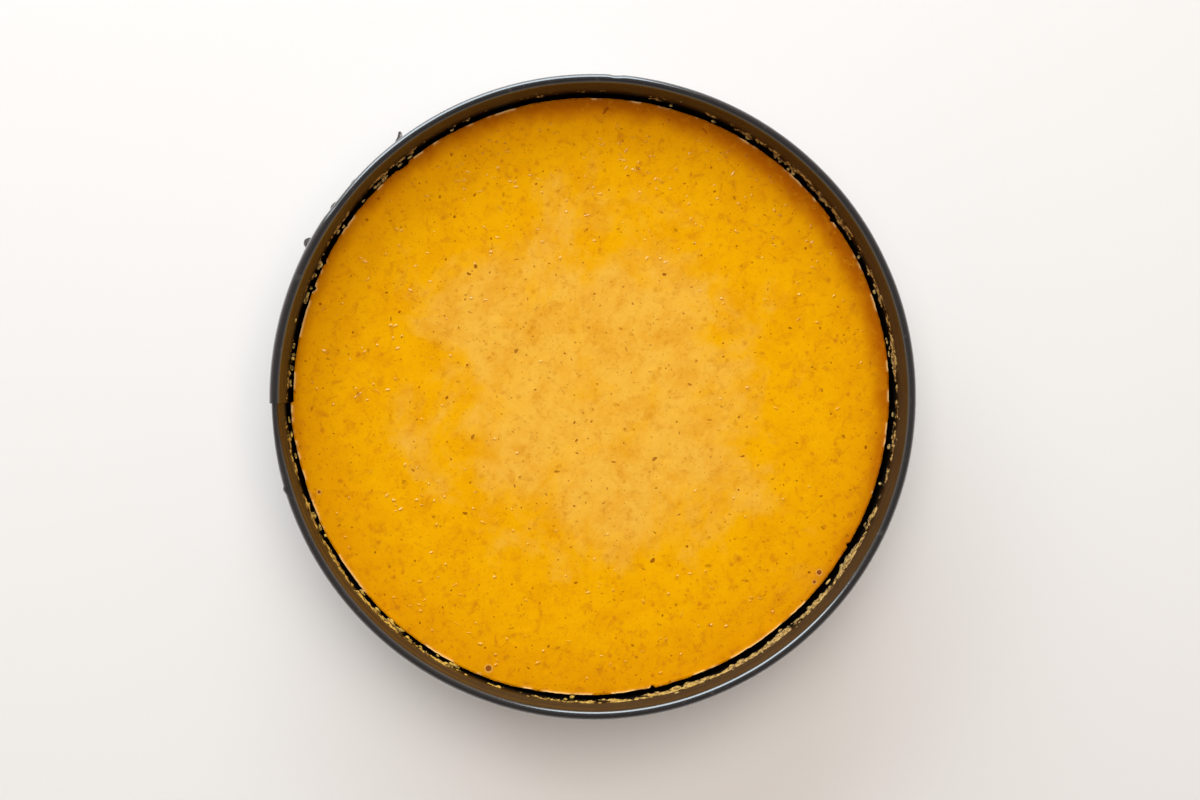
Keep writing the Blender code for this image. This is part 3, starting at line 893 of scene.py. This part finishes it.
# %% Build the wrinkles
def build_wrinkles(count=300):
    """Each mound is a dome of height h (1 - d^2)^2 over an ellipse, bent along its length, and
    sunk a little at its edge."""
    draw = np.random.default_rng(23)
    centre = wrinkle_centres(draw, count)
    total = len(centre)
    long = draw.uniform(0.8, 2.0, total) * draw.uniform(0.5, 1, total) * MM
    wide = draw.uniform(0.40, 0.75, total) * MM
    high = wide * draw.uniform(0.35, 0.6, total)
    turn = heading(0) + draw.normal(0, 0.5, total)
    bend = draw.uniform(-0.5, 0.5, total)
    rings, spokes = 4, 12
    d = np.linspace(0, 1, rings + 1)[1:, None]
    spoke = np.linspace(0, 2 * math.pi, spokes, endpoint=False)[None, :]
    u = np.concatenate([[0], (d * np.cos(spoke)).ravel()])[None, :]
    v = np.concatenate([[0], (d * np.sin(spoke)).ravel()])[None, :]
    rise = (1 - u**2 - v**2).clip(0) ** 2
    across, aside = u * long[:, None], (v + bend[:, None] * u**2) * wide[:, None]
    cos, sin = np.cos(turn)[:, None], np.sin(turn)[:, None]
    x = centre[:, :1] + across * cos - aside * sin
    y = centre[:, 1:2] + across * sin + aside * cos
    z = surface_at(x, y) + high[:, None] * rise - 0.03 * MM
    each = 1 + rings * spokes
    base = np.stack([x[:, -spokes:], y[:, -spokes:], z[:, -spokes:] - 0.2 * MM], axis=-1)
    points = np.concatenate([np.stack([x, y, z], axis=-1), base], axis=1)
    start = np.arange(total)[:, None, None] * (each + spokes)
    i = np.arange(spokes)
    cap = np.stack([0 * i, 1 + i, 1 + (i + 1) % spokes], axis=-1)[None]
    body = grid_faces(rings + 1, spokes, wrap_columns=True, first=1)[None]
    under = (each + i[::-1])[None, None, :]
    faces = [(f + start).reshape(-1, f.shape[-1]) for f in (cap, body, under)]
    print(total, "wrinkles")
    show(make_mesh("glossy_wrinkles", points, faces), "pan", wet_filling)


build_wrinkles()

# %% [markdown]
# ## What the cake left on the wall
#
# As it baked, the cake stood a few millimetres higher. When it sank it left a film on the wall, now
# dry and crusty, torn into strips and flecks with bare metal between. A band of colour would look
# painted on, so this is real thickness: a height of noise over the wall, higher in a band just over
# the cake. Where the height falls below nothing the surface dives under the steel, and so the
# film's ragged outline is drawn by the two surfaces crossing.

# %% The film's finish
CRUST = (0.56, 0.41, 0.18)
# yellower and paler: the film's own colour, and painted light where the wall faces the window
CRUST_YELLOW_AND_LIT = (0.74, 0.50, 0.09)
CRUST_BROWN = (0.10, 0.055, 0.02)
# where the film stayed on the wall: bearing in degrees, and how full it is from 0 to 1
FILM_AT = [(0, 0.5), (35, 0.5), (62, 0.42), (82, 0.1), (120, 0.12), (145, 0.25), (180, 0.28)]
FILM_AT += [(197, 0.45), (215, 0.75), (236, 0.42), (256, 0.12), (274, 0.65), (305, 0.8), (345, 0.6)]


def crust_finish():
    """Dried filling: yellower and paler towards the near left, partly its own colour and partly painted
    light where the wall faces the window, with scorched specks, matt and grainy.
    """
    made = Finish("dried filling", Specular_IOR_Level=0.3)
    spread = made.cloudy(5 * MM, 3)
    x, y, _ = made.split(made.place)
    # painted light: the film is made paler and yellower towards the near left, where the wall faces the
    # window
    left = outward(225)
    yellow_and_lit = made.smooth((x * left.x + y * left.y) / WALL + spread, 0.7, 1.4, 0.3, 0.95)
    colour = made.mix(yellow_and_lit, CRUST, CRUST_YELLOW_AND_LIT)
    scorched = made.smooth(made.cloudy(1.4 * MM, 4, roughness=0.65), 0.44, 0.60)
    made.set("Base Color", made.mix(scorched * 0.9, colour, CRUST_BROWN))
    made.set("Roughness", 0.6 + spread * 0.25)
    made.set("Normal", made.bump(made.cloudy(0.5 * MM, 3), 0.12 * MM, 0.8))
    return made.done()


crust = crust_finish()

# %% The film's thickness
FILM_THICK = 0.42 * MM
FILM_SUNK = 0.12 * MM  # how far below the steel its surface dives where there is no film


def film_height(bearing, z):
    """Thickness of the film as a share of its usual one, below nothing where the steel is bare. It
    hangs from a nearly level line, the height that the cake had risen to, down into the gap,
    where its lower edge is ragged. It is fullest on the near side, and torn by noise of
    three sizes, drawn out along the wall."""
    angle = heading(bearing)
    place = polar(WALL, angle, 1.5 * z)
    level = polar(WALL, angle, 0)
    upper = BURNT_TO + 0.5 * MM * noise(level, 9 * MM, 53) + 0.3 * MM * noise(level, 1.8 * MM, 54)
    lower = CAKE_TOP + 0.6 * MM + 3.0 * MM * noise(level, 6 * MM, 55)
    lower = lower + 2.2 * MM * noise(level, 1.7 * MM, 56)
    inside = np.minimum(upper - z, z - lower) / (0.8 * MM)
    where, full = np.array(FILM_AT, float).T
    fuller = (np.interp(bearing % 360, where, full, period=360) - 0.5) * 1.1
    torn = 0.42 * noise(level, 8 * MM, 50) + 0.56 * noise(place, 2.8 * MM, 51)
    torn = torn + 0.55 * noise(place, 1.1 * MM, 52)
    return np.minimum(inside, 2.6 * (torn + fuller))


near_top = film_height(np.arange(360), np.full(360, BURNT_TO - 1.5 * MM))
print(f"near its upper line the film covers {np.mean(near_top > 0):.0%} of the wall")

# %% Build the film
def build_film(steps=1800, levels=30):
    """The film's section runs up its face and back inside the sheet, once round from seam to seam.
    It is rough at two sizes, and thicker lower down, where it curls off the wall."""
    along = np.linspace(0.25, 359.6, steps)[:, None]
    bearing = SEAM - along
    z = np.linspace(CAKE_TOP - 6.5 * MM, BURNT_TO + 1.2 * MM, levels)[None, :]
    share = film_height(bearing, z)
    place = polar(WALL, heading(bearing), z)
    rough = 1 + 0.45 * noise(place, 1.5 * MM, 57) + 0.3 * noise(place, 0.6 * MM, 58)
    curl = 1 + 0.9 * ease((CAKE_TOP + 2.5 * MM - z) / (4 * MM))
    thick = np.where(share > 0, FILM_THICK * ease(share) * rough * curl, -FILM_SUNK)
    thick[[0, -1]] = -FILM_SUNK
    wall = wall_inside(bearing)
    r = np.hstack([wall - thick, np.tile(wall + 0.3 * MM, (1, 2))])
    z = np.hstack([np.tile(z, (steps, 1)), np.tile(z[:, [-1, 0]], (steps, 1))])
    points = polar(r, heading(bearing), z)
    mesh = make_mesh("dried_film", points, tube_faces(steps, levels + 2))
    show(mesh, "pan", crust, sharp=80)


build_film()

# %% [markdown]
# ## Crumbs
#
# Bits of torn skin lie in the gap and bridge it here and there, and a few flecks dried on the wall.
# They are small lumps, all made at once: one low ball is stretched, turned, roughened and put in
# its place for every crumb, and the copies are joined in a single mesh.

# %% A small ball
def ball(rings=6, around=8):
    """Points and faces of a small unit ball: levels between two poles."""
    height = np.radians(np.linspace(-90, 90, rings + 2)[1:-1])[:, None]
    turn = np.radians(np.linspace(0, 360, around, endpoint=False))[None, :]
    level = np.stack([np.cos(height) * np.cos(turn), np.cos(height) * np.sin(turn)], axis=-1)
    level = np.concatenate([level, np.sin(height)[..., None] + 0 * level[..., :1]], axis=-1)
    points = np.vstack([level.reshape(-1, 3), [[0, 0, -1], [0, 0, 1]]])
    i = np.arange(around)
    after = (i + 1) % around
    low, high = rings * around, rings * around + 1
    top = (rings - 1) * around
    fans = np.stack([0 * i + low, after, i], axis=-1)
    fans = np.vstack([fans, np.stack([0 * i + high, top + i, top + after], axis=-1)])
    return points, grid_faces(rings, around, wrap_columns=True), fans


print("a ball has", len(ball()[0]), "points")

# %% Build the crumbs
# bearings of the crumbs that are listed one by one: lodged in the gap, and stuck to the wall
LODGED = [10.6, 11.0, 52, 66.7, 75, 118, 127.5, 136.4, 140, 145.4, 147.5, 154, 156.5, 160.7]
LODGED += [161.6, 170, 177, 203, 207, 228, 241.8, 243, 266, 308.5, 322, 343]
STUCK = [165.6, 285.8, 38, 74, 101, 219, 231, 281, 297, 311, 303, 352, 356]


def build_crumbs():
    """Crumbs sit at a bearing, a distance from the wall and a height over the cake's edge. Two
    more crowds lie in the gap on the left and on the right. The first two that are stuck to the
    wall are large, and the rest are flecks."""
    draw = np.random.default_rng(5)
    lodged = np.concatenate([LODGED, draw.uniform(128, 242, 30), draw.uniform(-25, 80, 10)])
    bearing = np.concatenate([lodged, STUCK])
    count, first_stuck = len(bearing), len(lodged)
    in_gap = np.arange(count) < first_stuck
    bearing = bearing + draw.uniform(-0.4, 0.4, count)
    radius = wall_inside(bearing) - np.where(in_gap, draw.uniform(0.3, 1.1, count), 0.05) * MM
    low = np.where(in_gap, draw.uniform(-1.2, -0.1, count), draw.uniform(7.2, 10, count))
    size = np.stack([draw.uniform(0.35, 0.7, count), draw.uniform(0.6, 1.5, count)], axis=-1)
    size = np.hstack([size, draw.uniform(0.25, 0.6, (count, 1))]) * MM
    size[~in_gap] *= 0.32
    size[first_stuck : first_stuck + 2] *= 2.4
    points, quads, fans = ball()
    angle = heading(bearing)
    out = polar(1, angle, 0)
    aside = polar(1, angle + math.pi / 2, 0)
    up = np.array([0, 0, 1.0])
    lump = points[None] * (1 + 0.3 * noise(points[None] + bearing[:, None, None], 0.8, 60)[..., None])
    lump = lump * size[:, None, :]
    placed = lump[..., :1] * out[:, None] + lump[..., 1:2] * aside[:, None] + lump[..., 2:] * up
    placed = placed + (out * radius[:, None] + up * (CAKE_TOP + low * MM)[:, None])[:, None]
    shift = (np.arange(count) * len(points))[:, None, None]
    faces = [(f[None] + shift).reshape(-1, f.shape[1]) for f in (quads, fans)]
    print(count, "crumbs")
    show(make_mesh("crumbs", placed, faces), "pan", crust, sharp=80)


build_crumbs()

# %% [markdown]
# ## The latch
#
# Springform latches are tinned steel: bent strip, wire and rivets, bright but dulled by washing. The
# catch is a strip bent along a path, the bail a round wire along another, so both are a section
# carried along a path. The pin and the rivets are turned. The lever and its bracket are flat metal
# with sharp folds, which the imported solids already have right, so they are copied, their loose
# triangles are joined, and a small bevel rounds the cut edges.

# %% Tinned steel
TIN = (0.56, 0.55, 0.53)
TIN_DULL = (0.36, 0.35, 0.335)
TIN_SPOT = (0.17, 0.14, 0.115)


def latch_finish():
    """Tinned steel: fine lines drawn out along X, dull patches, and a few dark spots."""
    made = Finish("tinned steel", Metallic=1.0)
    x, y, z = made.split(made.place)
    drawn = made.node("CombineXYZ", None, {"X": x * 0.1, "Y": y, "Z": z})
    lines = made.cloudy(0.35 * MM, 3, drawn)
    dull = made.smooth(made.cloudy(4 * MM, 4), 0.4, 0.7)
    spots = made.smooth(made.cloudy(0.9 * MM, 3), 0.68, 0.76)
    colour = made.mix(dull * 0.5, TIN, TIN_DULL)
    made.set("Base Color", made.mix(spots * 0.5, colour, TIN_SPOT))
    made.set("Roughness", 0.24 + dull * 0.16 + lines * 0.1)
    made.set("Normal", made.bump(lines, 0.02 * MM, 0.6))
    return made.done()


tinned = latch_finish()
LATCH_Z = (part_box("catch_plate")[0].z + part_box("catch_plate")[1].z) / 2

# %% [markdown]
# On the latch, `along` is the clockwise way round the pan, -X here, and `out` the distance from the
# pan's axis, -Y. The catch's path follows the double wall, turns outwards and curls back on itself.

# %% The catch
def latch_points(along, out, z):
    """Points of the row from places on the latch."""
    return np.stack(np.broadcast_arrays(-np.asarray(along), -np.asarray(out), z), axis=-1)


def rounded_strip(path, thickness, low, high, corner):
    """A strip with rounded edges carried along a path in the plane: at each station its section is
    a rectangle with four round corners, set square to the path. Gives a grid, station by point."""
    quarter = np.radians(np.linspace(0, 90, 4))
    across, up = [], []
    for turn, a, b in ((0, 1, 1), (90, -1, 1), (180, -1, -1), (270, 1, -1)):
        bend = quarter + math.radians(turn)
        across.append(a * (thickness / 2 - corner) + corner * np.cos(bend))
        up.append((high if b > 0 else low) - b * corner + corner * np.sin(bend))
    across, up = np.concatenate(across), np.concatenate(up)
    place = path[:, None, :] + left_of(path)[:, None, :] * across[None, :, None]
    return latch_points(place[..., 0], place[..., 1], LATCH_Z + up[None, :])


def arc(centre, radius, start, stop, count):
    """Points of an arc in the plane, between two angles in degrees."""
    turn = np.radians(np.linspace(start, stop, count))
    return np.asarray(centre) + radius * np.column_stack([np.cos(turn), np.sin(turn)])


def build_catch():
    """The strip's path lies on a circle where it follows the wall, bends outwards in an arc, and
    curls back in a wider one."""
    strip, half_tall, bend = 0.7 * MM, 7 * MM, 1.3 * MM
    seat = WALL + LAYER_STEP + SHEET + 0.7 * MM
    curl_at, curl = (-25.6 * MM, 119.1 * MM), 1.9 * MM
    riser = curl_at[0] + curl
    on_wall = np.linspace(-45 * MM, riser - bend, 24)
    bend_at = (riser - bend, math.sqrt(seat**2 - riser**2) + 1.5 * MM)
    path = [np.column_stack([on_wall, np.sqrt(seat**2 - on_wall**2)])]
    path += [arc(bend_at, bend, -80, 0, 9), arc(curl_at, curl, 0, 290, 40)]
    points = rounded_strip(np.vstack(path), strip, -half_tall, half_tall, 0.2 * MM)
    mesh = make_mesh("latch_catch", points, tube_faces(*points.shape[:2]))
    show(mesh, "pan", tinned, ["catch_plate"])


build_catch()

# %% The bail
def build_bail():
    """The wire's path lies in one plane, through the latch's height and the line from the lever's
    holes to the catch, so its section needs only that plane's normal and the path's own side."""
    low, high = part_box("bail")
    wire, bend, eye = 0.9 * MM, 1.6 * MM, 6.05 * MM
    pivot = np.array((2.5, 118.9)) * MM
    bar = np.array((-29.2, 117.8)) * MM
    reach = np.linalg.norm(bar - pivot)
    way = (bar - pivot) / reach
    half = (high.z - low.z) / 2 - wire
    corner = arc((bend, half - bend), bend, 180, 90, 10)
    far = arc((reach - bend, half - bend), bend, 90, 0, 10)
    upper = np.vstack([[[0, eye]], corner, far])
    path = np.vstack([upper, upper[::-1] * (1, -1)])
    turn = np.radians(np.linspace(0, 360, 20, endpoint=False))[None, :]
    in_plane = path[:, None, :] + wire * np.cos(turn)[..., None] * left_of(path)[:, None, :]
    lift = wire * np.sin(turn) + 0 * in_plane[..., 0]
    along = pivot[0] + way[0] * in_plane[..., 0] - way[1] * lift
    out = pivot[1] + way[1] * in_plane[..., 0] + way[0] * lift
    points = latch_points(along, out, LATCH_Z + in_plane[..., 1])
    mesh = make_mesh("wire_bail", points, tube_faces(*points.shape[:2]))
    show(mesh, "bail", tinned, ["bail"])


build_bail()

# %% Rivets and the pivot pin
def build_turned_at(name, profile, place, axis, stands_for, steps=32):
    """A turned piece put at a place, with its own +Z along an axis, its place in its mesh."""
    mesh = turned(name, profile, steps)
    turn = Vector(axis).to_track_quat("Z", "Y").to_matrix().to_4x4()
    mesh.transform(Matrix.Translation(place) @ turn)
    show(mesh, "pan", tinned, [stands_for], 50)


def middle_of(node):
    """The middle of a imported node's box."""
    low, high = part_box(node)
    return (low + high) / 2


def build_rivets():
    """Each head is a low dome with a flattened crown, standing square to the wall."""
    wide, tall, sunk = 2.0 * MM, 1.0 * MM, 0.25 * MM
    crown = np.radians(np.linspace(88, 0, 9))
    dome = [(wide * math.cos(a), tall * math.sin(a) ** 0.8) for a in crown]
    profile = [(0, tall), *dome, (wide, -sunk), (0, -sunk)]
    for node in ("catch_rivet_upper", "catch_rivet_lower", "bracket_rivet_back", "bracket_rivet_front"):
        at = middle_of(node)
        out = Vector((at.x, at.y, 0)).normalized()
        build_turned_at(node + "_head", profile, at - out * 0.5 * MM, out, node)


def build_pin():
    """The pin is a rod with a low head at each end, the lower one its mirror image."""
    rod, head, head_tall = 1.2 * MM, 1.9 * MM, 0.5 * MM
    low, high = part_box("pivot_pin")
    half = (high.z - low.z) / 2
    profile = [(0, half), (rod, half), (1.65 * MM, half - 0.08 * MM), (head, half - 0.3 * MM)]
    profile += [(head, half - head_tall), (rod, half - head_tall)]
    profile += [(r, -z) for r, z in reversed(profile)]
    build_turned_at("latch_pin", profile, middle_of("pivot_pin"), (0, 0, 1), "pivot_pin")


build_rivets()
build_pin()

# %% The lever and its bracket
def softened(node, name, body, width):
    """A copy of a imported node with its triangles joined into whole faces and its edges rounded."""
    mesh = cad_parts[node].data.copy()
    mesh.name = name
    mesh.materials.clear()
    work = bmesh.new()
    work.from_mesh(mesh)
    bmesh.ops.remove_doubles(work, verts=work.verts, dist=0.004 * MM)
    flat = math.radians(1)
    bmesh.ops.dissolve_limit(work, angle_limit=flat, verts=work.verts, edges=work.edges)
    work.to_mesh(mesh)
    work.free()
    piece = show(mesh, body, tinned, [node], 30)
    bevel = piece.modifiers.new("rounded edges", "BEVEL")
    bevel.width = width
    bevel.segments = 2
    bevel.limit_method = "ANGLE"
    bevel.angle_limit = math.radians(40)
    bevel.harden_normals = True


softened("lever", "latch_lever", "lever", 0.16 * MM)
softened("hinge_bracket", "latch_bracket", "pan", 0.12 * MM)

# %% [markdown]
# ## Floor, light and camera
#
# The pan stands on a plain pale floor. A wide low light on the far side stands for a window: it is
# what the rolled rim mirrors, as a line along its shoulder. A skylight high over the far side lets
# the wall shade the far edge of the cake, and is kept out of the reflections, because a ceiling
# that scatters light shows no edge in them. The room fills the rest. The camera looks almost
# straight down.

# %% The floor
def build_floor():
    """One large square under the pan."""
    mesh = bpy.data.meshes.new("floor")
    half = 4.0
    corners = [(-half, -half, 0), (half, -half, 0), (half, half, 0), (-half, half, 0)]
    mesh.from_pydata(corners, [], [(0, 1, 2, 3)])
    made = Finish("pale floor", Base_Color=(0.86, 0.86, 0.86), Roughness=0.85)
    mesh.materials.append(made.done())
    floor = bpy.data.objects.new("floor", mesh)
    bpy.context.scene.collection.objects.link(floor)


build_floor()

# %% The lights
def soft_light(name, bearing, elevation, distance, wide, high, power, colour):
    """An area light that looks at the pan from a bearing and an elevation, with its size and its
    distance in metres and its power in watts."""
    data = bpy.data.lights.new(name, "AREA")
    data.shape = "RECTANGLE"
    data.size, data.size_y = wide, high
    data.energy = power
    data.color = colour
    light = bpy.data.objects.new(name, data)
    lift = math.radians(elevation)
    away = outward(bearing) * math.cos(lift) + Vector((0, 0, math.sin(lift)))
    light.location = away * distance
    light.rotation_euler = away.to_track_quat("Z", "Y").to_euler()
    bpy.context.scene.collection.objects.link(light)
    print(f"{name}: {power} W over {wide * high:.2f} square metres")
    return light


def build_room():
    """The world is a warm room: bright at the level of the pan, darker overhead, where the skylight
    is a light of its own, and a little brighter on the window's side."""
    world = bpy.data.worlds.new("warm room")
    world.use_nodes = True
    made = Nodes(world.node_tree)
    background = world.node_tree.nodes["Background"]
    x, y, up = made.split(made.node("TexCoord", output="Generated"))
    far = outward(100)
    bright = made.smooth(up, 0.95, 0.05, 0.14, 0.50) + (x * far.x + y * far.y) * 0.12
    made.join(bright.larger(0.05), background.inputs["Strength"])
    made.join((1.0, 0.84, 0.72), background.inputs["Color"])
    bpy.context.scene.world = world


soft_light("wide window", 107, 28, 1.8, 1.9, 1.3, 28.5, (0.76, 0.90, 1.0))
skylight = soft_light("skylight", 90, 79, 1.4, 0.86, 0.86, 13.8, (1.0, 0.92, 0.85))
skylight.visible_glossy = False
build_room()

# %% The camera
def add_camera():
    """The camera hangs over the pan, a little to its left, and looks at a point beside the middle
    of the rim, so that the right-hand inner wall shows a little more than the left."""
    rim_centre = Vector((0, 0, RIM_TOP))
    right, far = outward(0), outward(90)
    stand = rim_centre - right * 28.4 * MM + far * 6.0 * MM + Vector((0, 0, 620.7 * MM))
    target = rim_centre + right * 1.27 * MM - far * 0.84 * MM
    print(f"the camera is {(stand - target).length:.3f} m from the rim")
    data = bpy.data.cameras.new("camera")
    data.sensor_width = 36
    data.lens = 51
    data.clip_start, data.clip_end = 0.01, 50
    camera = bpy.data.objects.new("camera", data)
    forward = (target - stand).normalized()
    side = forward.cross(far).normalized()
    up = side.cross(forward)
    turn = Matrix((side, up, -forward)).transposed().to_4x4()
    camera.matrix_world = Matrix.Translation(stand) @ turn
    bpy.context.scene.collection.objects.link(camera)
    bpy.context.scene.camera = camera


add_camera()
bpy.context.scene.view_settings.view_transform = "Standard"
